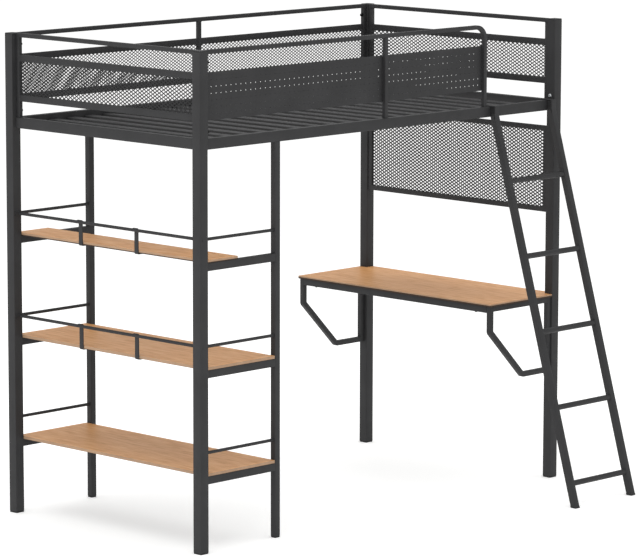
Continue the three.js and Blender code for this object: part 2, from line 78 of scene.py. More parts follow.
# For a run along each axis: the outline's across and upward directions, and the run itself.
RUNS = {
    "x": (Y_AXIS, Z_AXIS, X_AXIS),
    "y": (-X_AXIS, Z_AXIS, Y_AXIS),
    "z": (X_AXIS, Y_AXIS, Z_AXIS),
}
SIDES = ("front", "back")
ENDS = ("left", "right")
LEVELS = ("low", "middle", "top")
CORNER_STEPS = 4  # faces round each rounded edge of a tube
BEND_STEPS = 10  # stretches in each bend
ROUND_SIDES = 24  # faces round a rod or a bolt
SMOOTH_BELOW = math.radians(32)  # edges that turn less than this are shaded smooth
CLEAR = 0.3 * MM  # gap left where one part lies against another
PLATE_EDGE = 0.8 * MM  # rounding of the edges of flat bars
OFF_FACE = 0.2 * MM  # how far a bead, a painted-shade block in a hook or a screw head starts off the face it sits on


# ---------------------------------------------------------------- settings


def length(name, description, millimetres):
    """A length property with its default in millimetres."""
    return number(name, description, millimetres * MM, unit="LENGTH", precision=4)


def number(name, description, default, **kind):
    """A property for one number."""
    return FloatProperty(name=name, description=description, default=default, **kind)


def angle(name, description, degrees):
    """An angle property with its default in degrees."""
    return number(name, description, math.radians(degrees), subtype="ANGLE")


def share(name, description, default):
    """A property for a part of a whole."""
    return number(name, description, default, min=0.1, max=0.9, subtype="FACTOR")


def linear(hex_colour):
    """Turns an sRGB hex value into linear red, green and blue."""
    channels = [int(hex_colour[i : i + 2], 16) / 255 for i in (1, 3, 5)]
    return tuple(c / 12.92 if c <= 0.04045 else ((c + 0.055) / 1.055) ** 2.4 for c in channels)


def colour(name, description, hex_colour):
    """A colour property with its default as an sRGB hex value."""
    return FloatVectorProperty(
        name=name, description=description, default=linear(hex_colour),
        subtype="COLOR", min=0, max=1,
    )


class LoftBedTubes(PropertyGroup):
    post_edge: length("Post edge radius", "Rounding of the corner posts' long edges", 1.8)
    rail_edge: length("Rail edge radius", "Rounding of the bed rails' long edges", 1.8)
    slim_edge: length("Slim tube edge radius", "Rounding of guard, desk and ladder tubes", 1.5)
    wall: length("Tube wall", "Wall of the tubes with open ends", 1.2)
    bend: length("Guard bend radius", "Centre-line radius at the end of the front guard", 48)
    bracket_bend: length("Bracket bend radius", "Centre-line radius of the desk brackets", 12)
    bead: length("Weld bead width", "Width of the weld beads round the joints", 3)


class LoftBedSlats(PropertyGroup):
    per_deck: IntProperty(name="Slats", description="Slats in each half of the bed", default=10)
    width: length("Slat width", "Width of a slat along the bed", 46)
    height: length("Slat height", "Height of a slat's folded sides", 12)
    sheet: length("Slat sheet", "Thickness of the slats' steel", 1)
    edge: length("Slat edge radius", "Outer radius of a slat's folds", 2.5)
    ledge: length("Ledge width", "Width of the angle that the slats are welded to", 22)
    ledge_sheet: length("Ledge sheet", "Thickness of that angle", 2)


class LoftBedGuards(PropertyGroup):
    tube: length("Guard tube", "Side of the square guard tubes", 16)
    strip_height: length("Strip height", "Height of the flat strips", 25)
    strip_thick: length("Strip thickness", "Thickness of the flat strips", 10)
    upper_strip: length("Upper strip top", "Height of the upper strips' top edge", 1758)
    lower_strip: length("Lower strip top", "Height of the lower strips' top edge", 1607)
    end_pitch: length("End mesh pitch", "Hole spacing along the end and privacy meshes", 22.9)
    end_rise: length("End mesh rise", "Height of a hole and its strand in those meshes", 13.2)
    back_pitch: length("Back mesh pitch", "Hole spacing along the back meshes", 20.1)
    back_rise: length("Back mesh rise", "Height of a hole and its strand in those meshes", 12.05)
    end_opening: share("End mesh opening", "Size of its holes against their cells", 0.645)
    back_opening: share("Back mesh opening", "Size of its holes against their cells", 0.69)
    privacy_opening: share("Privacy mesh opening", "Size of its holes against their cells", 0.565)
    hole: length("Panel hole", "Diameter of the round holes in the front panels", 4)
    hole_pitch: length("Panel hole pitch", "Spacing of those holes along the bed", 25)
    hole_rise: length("Panel hole rise", "Spacing of those holes in height", 24.5)
    hole_start: length("Panel hole start", "From a panel's middle end to its first holes", 21)
    hole_top: length("Panel hole top", "From a panel's top to its first row of holes", 28.5)
    hole_rows: IntProperty(name="Hole rows", description="Rows of holes in a panel", default=6)


class LoftBedBoards(PropertyGroup):
    edge: length("Board edge radius", "Rounding of the boards' edges", 0.8)
    # the dark layers at the boards' lower edges are painted shade, not a real backing
    desk_shade_layer: length("Desk backing", "Depth of the dark layer at the desk's edge", 6.5)
    shelf_shade_layer: length("Shelf backing", "Depth of that layer at the lower shelves' edges", 0.9)
    top_shade_layer: length("Top shelf backing", "Depth of that layer at the top shelf's edge", 4)
    rod: length("Rod diameter", "Diameter of the rods over the shelves", 12)
    strap_width: length("Strap width", "Width of the straps on the end rods", 20)
    strap_thick: length("Strap thickness", "Thickness of those straps", 4)
    strap_spacing: length("Strap spacing", "Distance between the two straps of a rod", 304)
    strap_foot: length("Strap foot", "How far a strap reaches under the board", 24)
    rod_rise: length("Rod height", "Height of a rod's centre above its board", 74)
    shoulder: length("Bracket shoulder", "Height where the desk bracket starts to slope", 631)
    foot: length("Bracket foot", "Height of the desk bracket's lowest tube", 441)
    reach: length("Bracket reach", "Length of the desk bracket's lowest tube", 152)
    bracket_tube: length("Bracket tube", "Side of the desk bracket's square tube", 20)


class LoftBedLadder(PropertyGroup):
    stile: length("Stile width", "Side of the ladder's square stiles", 25)
    rung: length("Rung diameter", "Diameter of the round rungs", 22)
    rungs: IntProperty(name="Rungs", description="Number of rungs", default=5)
    first: length("First rung", "Height of the lowest rung's centre", 90.5)
    pitch: length("Rung pitch", "Height from one rung to the next", 286.4)
    top: length("Stile top", "Height where the stiles end", 1486)
    lean: number("Lean", "How far the foot runs out for each unit of height", 0.292)
    plate: length("Hook plate", "Thickness of the flat hooks", 4)
    lip: length("Hook lip", "How far the hooks reach down behind the rail", 14)


class LoftBedColours(PropertyGroup):
    coat: colour("Powder coat", "Colour of the coated steel", "#2f2f30")
    coat_mesh: colour("Mesh coat", "Colour of the coated mesh", "#262627")
    plastic: colour("Plastic", "Colour of the caps and feet", "#1d1d1e")
    screw: colour("Black screw", "Colour of the blackened screws", "#161617")
    zinc: colour("Zinc", "Colour of the bright bolt", "#c3c6c8")
    wood: colour("Board", "Main colour of the boards' print", "#dba068")
    wood_dark: colour("Board grain", "Colour of the print's dark grain", "#c78b52")
    wood_light: colour("Board light", "Colour of the print's light bands", "#e3af78")
    band: colour("Edge band", "Colour of the boards' edges", "#a4866c")
    # painted shade: dark brown for the boards' lower edges and undersides, standing in for the
    # shade under them
    shade_layer: colour("Backing", "Colour of the boards' undersides", "#3a2e26")
    floor: colour("Floor", "Colour of the floor", "#f6f6f5")


class LoftBedFasteners(PropertyGroup):
    guard_head: length("Guard bolt head", "Width of the bolt heads in the guards", 14)
    guard_height: length("Guard bolt height", "How far those heads stand up", 9)
    guard_upper: length("Upper guard bolt", "From the back guard's top to its upper bolts", 45)
    guard_lower: length("Lower guard bolt", "From that guard's foot to its lower bolts", 23)
    stop_head: length("Stop bolt head", "Width of the bolt heads at the shelf end stops", 9)
    stop_height: length("Stop bolt height", "How far those heads stand up", 1.2)
    stop_inset: length("Stop bolt inset", "From a post's middle out to those bolts", 7)
    post_head: length("Post bolt head", "Width of the bright bolt's head", 15)
    post_height: length("Post bolt height", "How far that head stands up", 5)
    post_rise: length("Post bolt rise", "From the side rail's top to the bright bolt", 15)
    desk_head: length("Desk bolt head", "Width of the bolt heads under the desk", 11)
    desk_height: length("Desk bolt height", "How far those heads stand down", 4)
    desk_spacing: length("Desk bolt spacing", "Distance between those two bolts", 876)
    board_inset: length("Board screw inset", "From a shelf's outer edge to its screws", 53)
    board_spacing: length("Board screw spacing", "Distance between a shelf's two screws", 604)


class LoftBedStage(PropertyGroup):
    azimuth: angle("View azimuth", "Angle from the front to the camera", -45.744)
    elevation: angle("View elevation", "Angle of the camera above the level", 8.821)
    roll: angle("Roll", "Turn of the picture", 0.125)
    distance: length("Distance", "From the camera to the point it looks at", 14600)
    aim: FloatVectorProperty(
        name="Aim", description="The point it looks at, with Y from the bed's centre line",
        default=(0.0547, -0.1119, 0.8545), subtype="XYZ", unit="LENGTH",
    )
    lens: number("Lens", "Focal length in millimetres", 211.81, unit="CAMERA")
    sky: number("Room light", "Strength of the even light all round", 0.8)
    glow: number("Floor glow", "Strength of the floor's own faint light", 0.32)
    overhead: number("Overhead light", "Power of the light above", 195, unit="POWER")
    left: number("Left light", "Power of the light at the shelf end", 75, unit="POWER")
    front: number("Front light", "Power of the light at the front", 5, unit="POWER")


class LoftBedSettings(PropertyGroup):
    tubes: PointerProperty(type=LoftBedTubes, name="Tubes", description="Tube finish")
    slats: PointerProperty(type=LoftBedSlats, name="Slats", description="Slat sizes")
    guards: PointerProperty(type=LoftBedGuards, name="Guards", description="Guard sizes")
    boards: PointerProperty(type=LoftBedBoards, name="Boards", description="Shelf and desk sizes")
    ladder: PointerProperty(type=LoftBedLadder, name="Ladder", description="Ladder sizes")
    fasteners: PointerProperty(type=LoftBedFasteners, name="Fasteners", description="Bolts, screws")
    colours: PointerProperty(type=LoftBedColours, name="Colours", description="Finishes")
    stage: PointerProperty(type=LoftBedStage, name="Stage", description="Camera and light")


# ---------------------------------------------------------------- where things are


def corners(node):
    """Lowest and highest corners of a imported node, as vectors."""
    low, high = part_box(node)
    return Vector(low), Vector(high)


def middle(node):
    """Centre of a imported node's box."""
    low, high = corners(node)
    return (low + high) / 2


def centre_y():
    """The bed's own centre line in Y, half-way between its two side rails."""
    return (middle("side_rail_front").y + middle("side_rail_back").y) / 2


# ---------------------------------------------------------------- shape helpers


def rounded(width, height, radius):
    """A rectangle with rounded corners, as (x, y) pairs."""
    points = []
    for turn, (x, y) in enumerate(((1, 1), (-1, 1), (-1, -1), (1, -1))):
        at = Vector((x * (width / 2 - radius), y * (height / 2 - radius)))
        for step in range(CORNER_STEPS + 1):
            bearing = math.radians(90) * (turn + step / CORNER_STEPS)
            points.append((at.x + radius * math.cos(bearing), at.y + radius * math.sin(bearing)))
    return points


def circle(diameter, sides=ROUND_SIDES):
    """A regular outline, as (x, y) pairs."""
    radius = diameter / 2
    turns = [2 * math.pi * i / sides for i in range(sides)]
    return [(radius * math.cos(turn), radius * math.sin(turn)) for turn in turns]


def ring(outline, at, across, upward):
    """An outline placed in space."""
    return [at + across * x + upward * y for x, y in outline]


def skin(bm, rings, closed=False):
    """Joins equal rings into one shell, capped at both ends unless it closes on itself."""
    loops = [[bm.verts.new(point) for point in points] for points in rings]
    pairs = list(zip(loops, loops[1:]))
    if closed:
        pairs.append((loops[-1], loops[0]))
    for here, there in pairs:
        for i, vertex in enumerate(here):
            j = (i + 1) % len(here)
            bm.faces.new((vertex, here[j], there[j], there[i]))
    if not closed:
        bm.faces.new(loops[0][::-1])
        bm.faces.new(loops[-1])


def bar(bm, outline, places, across, upward):
    """A straight bar of one outline through the places given."""
    skin(bm, [ring(outline, place, across, upward) for place in places])


def tube(bm, low, high, axis, edge):
    """A straight rectangular tube with rounded edges that fills a box."""
    across, upward, run = RUNS[axis]
    size, at = high - low, (low + high) / 2
    half = run * abs(size.dot(run)) / 2
    outline = rounded(abs(size.dot(across)), abs(size.dot(upward)), edge)
    bar(bm, outline, (at - half, at + half), across, upward)


def stations_along(points, normal, radii, closed):
    """Places, across directions and stretches along a flat path, round or mitred at corners."""
    found = []
    count = len(points)
    for i, point in enumerate(points):
        if not closed and i in (0, count - 1):
            run = (points[1] - points[0]) if i == 0 else (points[-1] - points[-2])
            found.append((point, normal.cross(run.normalized()), 1))
            continue
        came = (point - points[i - 1]).normalized()
        goes = (points[(i + 1) % count] - point).normalized()
        turn = came.angle(goes)
        sign = 1 if came.cross(goes).dot(normal) > 0 else -1
        side = normal.cross(came)
        if not radii[i]:
            facing = Matrix.Rotation(sign * turn / 2, 3, normal) @ side
            found.append((point, facing, 1 / math.cos(turn / 2)))
            continue
        start = point - came * radii[i] * math.tan(turn / 2)
        hub = start + side * sign * radii[i]
        for step in range(BEND_STEPS + 1):
            facing = Matrix.Rotation(sign * turn * step / BEND_STEPS, 3, normal) @ side
            found.append((hub - facing * sign * radii[i], facing, 1))
    return found


def sweep(bm, outline, points, normal, radii=None, closed=False):
    """Runs an outline along a flat path; its y direction stays along the path's normal."""
    radii = radii or [0] * len(points)
    rings = []
    for at, across, stretch in stations_along(points, normal, radii, closed):
        rings.append(ring(outline, at, across * stretch, normal))
    skin(bm, rings, closed)


BEAD_STEP = 3 * MM  # about how far apart the points along a weld bead lie
BEAD_SIDES = 6
RIPPLE, RIPPLE_TURN = 0.18, 2.4  # how much a ripple swells the bead, and the phase between points


def bead(bm, outline, at, across, upward, width):
    """A weld bead, with the ripples of its passes, laid round an outline."""
    outline = spread(outline, BEAD_STEP)
    run = across.cross(upward).normalized()
    turns = [2 * math.pi * k / BEAD_SIDES for k in range(BEAD_SIDES)]
    rings = []
    for i, place in enumerate(ring(outline, at, across, upward)):
        edge = (outline[(i + 1) % len(outline)] - outline[i - 1]).normalized()
        out = (across * edge.y - upward * edge.x).normalized()
        size = width / 2 * (1 + RIPPLE * math.sin(i * RIPPLE_TURN))
        rings.append([place + (out * math.cos(a) + run * math.sin(a)) * size for a in turns])
    skin(bm, rings, closed=True)


def spread(outline, gap):
    """An outline's points as vectors, with more on its straight parts, about a gap apart."""
    points = []
    for i, point in enumerate(outline):
        here, there = Vector(point), Vector(outline[(i + 1) % len(outline)])
        pieces = max(1, round((there - here).length / gap))
        points.extend(here.lerp(there, k / pieces) for k in range(pieces))
    return points


def welded_rod(bm, diameter, ends, inset, width):
    """A round rod along X with a weld bead a little way in from each end."""
    outline = circle(diameter)
    bar(bm, outline, ends, Y_AXIS, Z_AXIS)
    for end, inward in zip(ends, (X_AXIS, -X_AXIS)):
        bead(bm, outline, end + inward * inset, Y_AXIS, Z_AXIS, width)


def turned(bm, at, axis, profile):
    """A round piece from (radius, height) pairs along an axis."""
    across = axis.orthogonal().normalized()
    upward = axis.cross(across)
    rings = [ring(circle(2 * radius), at + axis * up, across, upward) for radius, up in profile]
    skin(bm, rings)


# A button head and its socket, as (radius, height) against its own radius and height.
BOLT_PROFILE = (
    (1, 0), (1, 0.3), (0.93, 0.62), (0.76, 0.88), (0.55, 1), (0.4, 1), (0.38, 0.94), (0.38, 0.4),
)


def bolt(bm, at, axis, head, height):
    """A button head with a rounded crown and a socket."""
    turned(bm, at, axis, [(head / 2 * radius, height * up) for radius, up in BOLT_PROFILE])


def make_piece(name, bm, node=None, looks=("coat",), body="bed", bevel=0.0):
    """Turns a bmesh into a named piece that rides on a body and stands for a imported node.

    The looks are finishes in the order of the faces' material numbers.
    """
    bmesh.ops.recalc_face_normals(bm, faces=bm.faces)
    mesh = bpy.data.meshes.new(name)
    bm.to_mesh(mesh)
    bm.free()
    mesh.polygons.foreach_set("use_smooth", [True] * len(mesh.polygons))
    mesh.set_sharp_from_angle(angle=SMOOTH_BELOW)
    for look in looks:
        mesh.materials.append(finish(look))
    piece = bpy.data.objects.new(name, mesh)
    bpy.context.scene.collection.objects.link(piece)
    if bevel:
        rounding = piece.modifiers.new("edges", "BEVEL")
        rounding.width = bevel
        rounding.segments = 3
        rounding.limit_method = "ANGLE"
        rounding.harden_normals = True
    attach(piece, body)
    if node:
        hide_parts(node)


def tube_piece(name, node, axis, edge):
    """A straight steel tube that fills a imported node's box."""
    bm = bmesh.new()
    tube(bm, *corners(node), axis, edge)
    make_piece(name, bm, node)


# ---------------------------------------------------------------- materials


NOISE_LOW, NOISE_HIGH = 0.3, 0.7  # nearly all of a noise pattern lies between these


def add_node(tree, kind, settings=None, inputs=None):
    """Adds a shader node with its settings; an input is a value or another node's output."""
    node = tree.nodes.new(kind)
    for name, value in (settings or {}).items():
        setattr(node, name, value)
    for name, value in (inputs or {}).items():
        if isinstance(value, NodeSocket):
            tree.links.new(value, node.inputs[name])
        else:
            node.inputs[name].default_value = value
    return node


def scaled(shade, factor):
    """A linear colour made lighter or darker."""
    return tuple(min(1, channel * factor) for channel in shade[:3])


class Surface:
    """A material whose one shader follows patterns in the piece's own space."""

    def __init__(self, name, specular=0.5, metallic=0.0):
        self.material = bpy.data.materials.new(name)
        self.material.use_nodes = True
        self.tree = self.material.node_tree
        self.shader = self.tree.nodes["Principled BSDF"]
        self.shader.inputs["Specular IOR Level"].default_value = specular
        self.shader.inputs["Metallic"].default_value = metallic
        self.place = add_node(self.tree, "ShaderNodeTexCoord").outputs["Object"]

    def pattern(self, size, detail=2.0, stretch=(1, 1, 1)):
        """Uneven patches about a size in metres, longer along an axis whose stretch is small."""
        inputs = {"Vector": self.place, "Scale": [part / size for part in stretch]}
        place = add_node(self.tree, "ShaderNodeMapping", inputs=inputs).outputs["Vector"]
        inputs = {"Vector": place, "Scale": 1, "Detail": detail}
        return add_node(self.tree, "ShaderNodeTexNoise", inputs=inputs).outputs["Fac"]

    def tint(self, pattern, stops):
        """Colours the surface by a pattern, through (position, colour) stops."""
        node = add_node(self.tree, "ShaderNodeValToRGB", inputs={"Fac": pattern})
        ramp = node.color_ramp
        while len(ramp.elements) < len(stops):
            ramp.elements.new(0.5)
        for element, (position, shade) in zip(ramp.elements, stops):
            element.position = position
            element.color = (*shade[:3], 1)
        self.tree.links.new(node.outputs["Color"], self.shader.inputs["Base Color"])

    def mottle(self, size, shade, dark, light, detail=3):
        """Lets one colour drift between a darker and a lighter shade of itself."""
        stops = [(NOISE_LOW, scaled(shade, dark)), (NOISE_HIGH, scaled(shade, light))]
        self.tint(self.pattern(size, detail), stops)

    def dull(self, pattern, low, high):
        """Lets the roughness follow a pattern between two values."""
        inputs = {"Value": pattern, "From Min": NOISE_LOW, "From Max": NOISE_HIGH}
        inputs.update({"To Min": low, "To Max": high})
        node = add_node(self.tree, "ShaderNodeMapRange", inputs=inputs)
        self.tree.links.new(node.outputs["Result"], self.shader.inputs["Roughness"])

    def emboss(self, pattern, strength, depth):
        """Raises the surface by a pattern, as relief of a real depth."""
        inputs = {"Height": pattern, "Strength": strength, "Distance": depth}
        node = add_node(self.tree, "ShaderNodeBump", inputs=inputs)
        self.tree.links.new(node.outputs["Normal"], self.shader.inputs["Normal"])


def powder_coated_steel(name, shade):
    """Welded mild steel under an oven-cured polyester powder coat.

    The eye gets a dark satin skin with fine orange peel, 1.5 mm across, and slightly uneven gloss.
    """
    coat = Surface(name, specular=0.22)
    coat.mottle(120 * MM, shade, 0.9, 1.1)
    coat.dull(coat.pattern(30 * MM, 3), 0.5, 0.64)
    coat.emboss(coat.pattern(1.5 * MM), 0.35, 0.05 * MM)
    return coat.material


def moulded_polyethylene(name, shade):
    """Injection-moulded polyethylene caps and feet: soft black, dull, with a faint spark grain."""
    plastic = Surface(name, specular=0.4)
    plastic.mottle(4 * MM, shade, 0.85, 1.2)
    plastic.dull(plastic.pattern(10 * MM), 0.5, 0.66)
    plastic.emboss(plastic.pattern(0.8 * MM), 0.4, 0.06 * MM)
    return plastic.material


def plated_steel(name, shade, rough):
    """Cold-headed steel screws, zinc-plated or blackened: metallic, with a crystalline bloom."""
    steel = Surface(name, metallic=1.0)
    steel.mottle(3 * MM, shade, 0.85, 1.1, detail=4)
    steel.dull(steel.pattern(2 * MM), rough - 0.06, rough + 0.08)
    return steel.material


def grain(surface):
    """Long soft streaks along Y: flecks 3 mm across over bands 14 mm across."""
    bands = surface.pattern(14 * MM, 4, (1, 0.12, 1))
    flecks = surface.pattern(3 * MM, 3, (1, 0.06, 1))
    inputs = {"Factor": 0.42, "A": bands, "B": flecks}
    node = add_node(surface.tree, "ShaderNodeMix", {"data_type": "FLOAT"}, inputs)
    return node.outputs["Result"]


def printed_laminate(colours):
    """Particle board faced with melamine paper printed as light oak.

    The eye gets even, low-contrast streaks along the board, a satin face and shallow pores.
    """
    board = Surface("oak_print_laminate", specular=0.2)
    streaks = grain(board)
    stops = [(0.36, colours.wood_dark), (0.5, colours.wood), (0.66, colours.wood_light)]
    board.tint(streaks, stops)
    board.dull(streaks, 0.5, 0.4)
    board.emboss(streaks, 0.3, 0.05 * MM)
    return board.material


def edge_band(colours):
    """The same print on a thin glued paper strip: paler and duller where the board is cut."""
    band = Surface("oak_print_edge_band", specular=0.2)
    streaks = grain(band)
    band.tint(streaks, [(0.36, scaled(colours.band, 0.86)), (0.64, scaled(colours.band, 1.1))])
    band.dull(streaks, 0.5, 0.6)
    return band.material


def painted_shade_sheet(colours):
    """Painted shade: a dark brown for the board's lower edge and underside, standing in for the
    shade under it; dull and slightly cloudy.
    """
    paper = Surface("brown_backing_paper", specular=0.2)
    paper.mottle(20 * MM, colours.shade_layer, 0.85, 1.2)
    paper.dull(paper.pattern(6 * MM), 0.6, 0.75)
    return paper.material


def painted_floor(colours, glow):
    """A pale studio floor lit faintly from below: matt and all but even."""
    floor = Surface("studio_floor", specular=0.2)
    floor.mottle(800 * MM, colours.floor, 0.99, 1)
    floor.shader.inputs["Roughness"].default_value = 0.9
    floor.shader.inputs["Emission Color"].default_value = (1, 1, 1, 1)
    floor.shader.inputs["Emission Strength"].default_value = glow
    return floor.material


FINISHES = {}


def finish(name):
    """The finish of that name, made the first time it is asked for."""
    settings = bpy.context.scene.loft_bed
    colours = settings.colours
    makers = {
        "coat": lambda: powder_coated_steel("satin_powder_coat", colours.coat),
        "mesh": lambda: powder_coated_steel("satin_powder_coat_on_mesh", colours.coat_mesh),
        "plastic": lambda: moulded_polyethylene("moulded_black_polyethylene", colours.plastic),
        "screw": lambda: plated_steel("blackened_screw_steel", colours.screw, 0.45),
        "zinc": lambda: plated_steel("zinc_plated_steel", colours.zinc, 0.38),
        "wood": lambda: printed_laminate(colours),
        "band": lambda: edge_band(colours),
        "shade_layer": lambda: painted_shade_sheet(colours),
        "floor": lambda: painted_floor(colours, settings.stage.glow),
    }
    if name not in FINISHES:
        FINISHES[name] = makers[name]()
    return FINISHES[name]


# ---------------------------------------------------------------- posts, rails and slats


CAP_PLATE, FOOT_PLATE = 0.3, 0.26  # how much of a cap's or a foot's height its end plate takes
PLATE_SHORT = 1 * MM  # the plate stops this much short of that
CAP_CORNER = 3 * MM
# How much narrower than the plate, and how far in from its outer face, at each step of the rim.
CAP_RIM = ((2.4 * MM, 0), (0.8 * MM, 0.5 * MM), (0, 1.2 * MM))
PLUG, PLUG_TIP = 3.4 * MM, 6 * MM  # how much narrower the plug behind the plate is, and its tip
PLUG_TAPER = 2 * MM


def post_end_piece(name, node, upward):
    """A moulded end plate with a rounded rim, and the plug behind it that tapers at its tip."""
    low, high = corners(node)
    side, height = high.x - low.x, high.z - low.z
    plate = height * (CAP_PLATE if upward else FOOT_PLATE) - PLATE_SHORT
    steps = [*CAP_RIM, (0, plate), (PLUG, plate), (PLUG, height - PLUG_TAPER), (PLUG_TIP, height)]
    at = middle(node)
    at.z = high.z if upward else low.z
    rings = []
    for narrower, depth in steps:
        width = side - narrower
        outline = rounded(width, width, min(CAP_CORNER, width / 4))
        rings.append(ring(outline, at + Z_AXIS * (-depth if upward else depth), X_AXIS, Y_AXIS))
    bm = bmesh.new()
    skin(bm, rings)
    make_piece(name, bm, node, ["plastic"])


class LOFTBED_OT_posts(Operator):
    """Corner posts and shelf posts with their plastic caps and feet"""

    bl_idname = "loft_bed.posts"
    bl_label = "Posts"

    def execute(self, context):
        tubes = context.scene.loft_bed.tubes
        for name in [f"{side}_{end}" for side in SIDES for end in ENDS]:
            tube_piece(name + "_post", "corner_post_" + name, "z", tubes.post_edge)
            post_end_piece(name + "_post_cap", "post_cap_" + name, True)
            post_end_piece(name + "_post_foot", "post_foot_" + name, False)
        for side in SIDES:
            tube_piece(side + "_shelf_post", "shelf_post_" + side, "z", tubes.slim_edge)
            post_end_piece(side + "_shelf_post_foot", "shelf_post_foot_" + side, False)
        return {"FINISHED"}


class LOFTBED_OT_rails(Operator):
    """Side rails and end rails of the bed frame"""

    bl_idname = "loft_bed.rails"
    bl_label = "Bed rails"

    def execute(self, context):
        edge = context.scene.loft_bed.tubes.rail_edge
        rails = [("side_rail_" + side, "x") for side in SIDES]
        rails += [("end_rail_" + end, "y") for end in ENDS]
        for node, axis in rails:
            tube_piece(node + "_tube", node, axis, edge)
        return {"FINISHED"}


def channel(width, height, sheet, edge):
    """A folded channel open downwards, with its top at zero height."""
    outer, inner = [], []
    reach, bore = width / 2 - edge, edge - sheet
    for step in range(CORNER_STEPS + 1):
        turn = math.radians(90) * step / CORNER_STEPS
        outer.append((reach + edge * math.sin(turn), edge * math.cos(turn) - edge))
        inner.append((reach + bore * math.sin(turn), bore * math.cos(turn) - edge))
    half = outer + [(width / 2, -height), (width / 2 - sheet, -height)] + inner[::-1]
    return half + [(-x, y) for x, y in half[::-1]]


class LOFTBED_OT_slats(Operator):
    """Two decks of folded steel slats on their ledges"""

    bl_idname = "loft_bed.slats"
    bl_label = "Slats"

    def execute(self, context):
        slats = context.scene.loft_bed.slats
        outline = channel(slats.width, slats.height, slats.sheet, slats.edge)
        for end in ENDS:
            low, high = corners("slat_deck_" + end)
            sign = -1 if end == "left" else 1
            reach = max(abs(low.x), abs(high.x))
            # Half a gap at the middle of the bed, and a whole one at its end rail.
            gap = (reach - slats.per_deck * slats.width) / (slats.per_deck + 0.5)
            inset = slats.ledge_sheet * 0.5
            bm = bmesh.new()
            for i in range(slats.per_deck):
                x = sign * (gap / 2 + i * (slats.width + gap) + slats.width / 2)
                ends = [Vector((x, y, high.z)) for y in (low.y + inset, high.y - inset)]
                bar(bm, outline, ends, X_AXIS, Z_AXIS)
            self.ledges(bm, low, high, slats)
            make_piece(end + "_slats", bm, "slat_deck_" + end)
        return {"FINISHED"}

    def ledges(self, bm, low, high, slats):
        """The two angles under the slats' ends."""
        leg_top = high.z - slats.ledge_sheet
        foot_top = low.z + slats.ledge_sheet
        for wall, sign in ((low.y, 1), (high.y, -1)):
            toe, leg = wall + sign * slats.ledge, wall + sign * slats.ledge_sheet
            outline = [
                (wall, low.z), (toe, low.z), (toe, foot_top), (leg, foot_top), (leg, leg_top),
                (wall, leg_top),
            ]
            bar(bm, outline, [X_AXIS * x for x in (low.x, high.x)], Y_AXIS, Z_AXIS)


# ---------------------------------------------------------------- sheets


HOLE_FLAT = 0.05  # half the flat at the top and foot of a mesh hole, against the pitch


def diamond_mesh(bm, low, high, axis, pitch, rise, opening):
    """Flattened expanded steel in a box: rows of pointed holes, every other half a pitch along."""
    along = RUNS[axis][2]
    through = X_AXIS if axis == "y" else Y_AXIS
    size, at = high - low, (low + high) / 2
    half_run, half_rise = abs(size.dot(along)) / 2, size.z / 2
    half_thick = abs(size.dot(through)) / 2
    shared = {}

    def vertex(u, v, face, key=None):
        """A new vertex, or the one that neighbouring cells already share."""
        if key is None or (key, face) not in shared:
            made = bm.verts.new(at + along * u + Z_AXIS * v + through * face * half_thick)
            if key is None:
                return made
            shared[(key, face)] = made
        return shared[(key, face)]

    columns, rows = math.ceil(half_run / pitch) + 1, math.ceil(half_rise / rise) * 2 + 2
    long_half, short_half, flat_half = pitch / 2 * opening, rise / 2 * opening, pitch * HOLE_FLAT
    hole = [
        (long_half, 0), (flat_half, short_half), (-flat_half, short_half),
        (-long_half, 0), (-flat_half, -short_half), (flat_half, -short_half),
    ]
    for row in range(-rows, rows + 1):
        for column in range(-columns, columns + 1):
            step = 2 * column + row % 2
            u, v = step * pitch / 2, row * rise / 2
            if abs(u) > half_run + pitch or abs(v) > half_rise + rise:
                continue
            rims = []
            for face in (-1, 1):
                outer = [
                    vertex(u + du * pitch / 2, v + dv * rise / 2, face, (step + du, row + dv))
                    for du, dv in ((1, 0), (0, 1), (-1, 0), (0, -1))
                ]
                rim = [vertex(u + du, v + dv, face) for du, dv in hole]
                right, top, left, bottom = outer
                bm.faces.new((right, top, rim[1], rim[0]))
                bm.faces.new((top, rim[2], rim[1]))
                bm.faces.new((top, left, rim[3], rim[2]))
                bm.faces.new((left, bottom, rim[4], rim[3]))
                bm.faces.new((bottom, rim[5], rim[4]))
                bm.faces.new((bottom, right, rim[0], rim[5]))
                rims.append(rim)
            for i in range(6):
                j = (i + 1) % 6
                bm.faces.new((rims[0][i], rims[0][j], rims[1][j], rims[1][i]))
    faces = [(sign * along, half_run) for sign in (1, -1)]
    faces += [(sign * Z_AXIS, half_rise) for sign in (1, -1)]
    for direction, reach in faces:
        cut = bmesh.ops.bisect_plane(
            bm, geom=bm.verts[:] + bm.edges[:] + bm.faces[:], plane_co=at + direction * reach,
            plane_no=direction, clear_outer=True,
        )["geom_cut"]
        edges = [item for item in cut if isinstance(item, bmesh.types.BMEdge)]
        bmesh.ops.holes_fill(bm, edges=[edge for edge in edges if edge.is_boundary], sides=0)


def perforated_panel(bm, low, high, guards):
    """A flat sheet along X with rows of holes, counted from the end nearer the bed's middle."""
    pitch, rise = guards.hole_pitch, guards.hole_rise
    width = high.x - low.x
    columns = math.floor((width - guards.hole_start - pitch / 2) / pitch) + 1
    places = [guards.hole_start + i * pitch for i in range(columns)]
    xs = [low.x + place if low.x > 0 else high.x - place for place in places]
    xs.sort()
    zs = [high.z - guards.hole_top - i * rise for i in reversed(range(guards.hole_rows))]
    x_edges = [low.x, *(x + pitch / 2 for x in xs[:-1]), high.x]
    z_edges = [low.z, *(z + rise / 2 for z in zs[:-1]), high.z]
    shared = {}
    for i, x in enumerate(xs):
        for j, z in enumerate(zs):
            cell = x_edges[i : i + 2], z_edges[j : j + 2]
            hole_cell(bm, shared, low, high, (x, z), *cell, guards.hole)


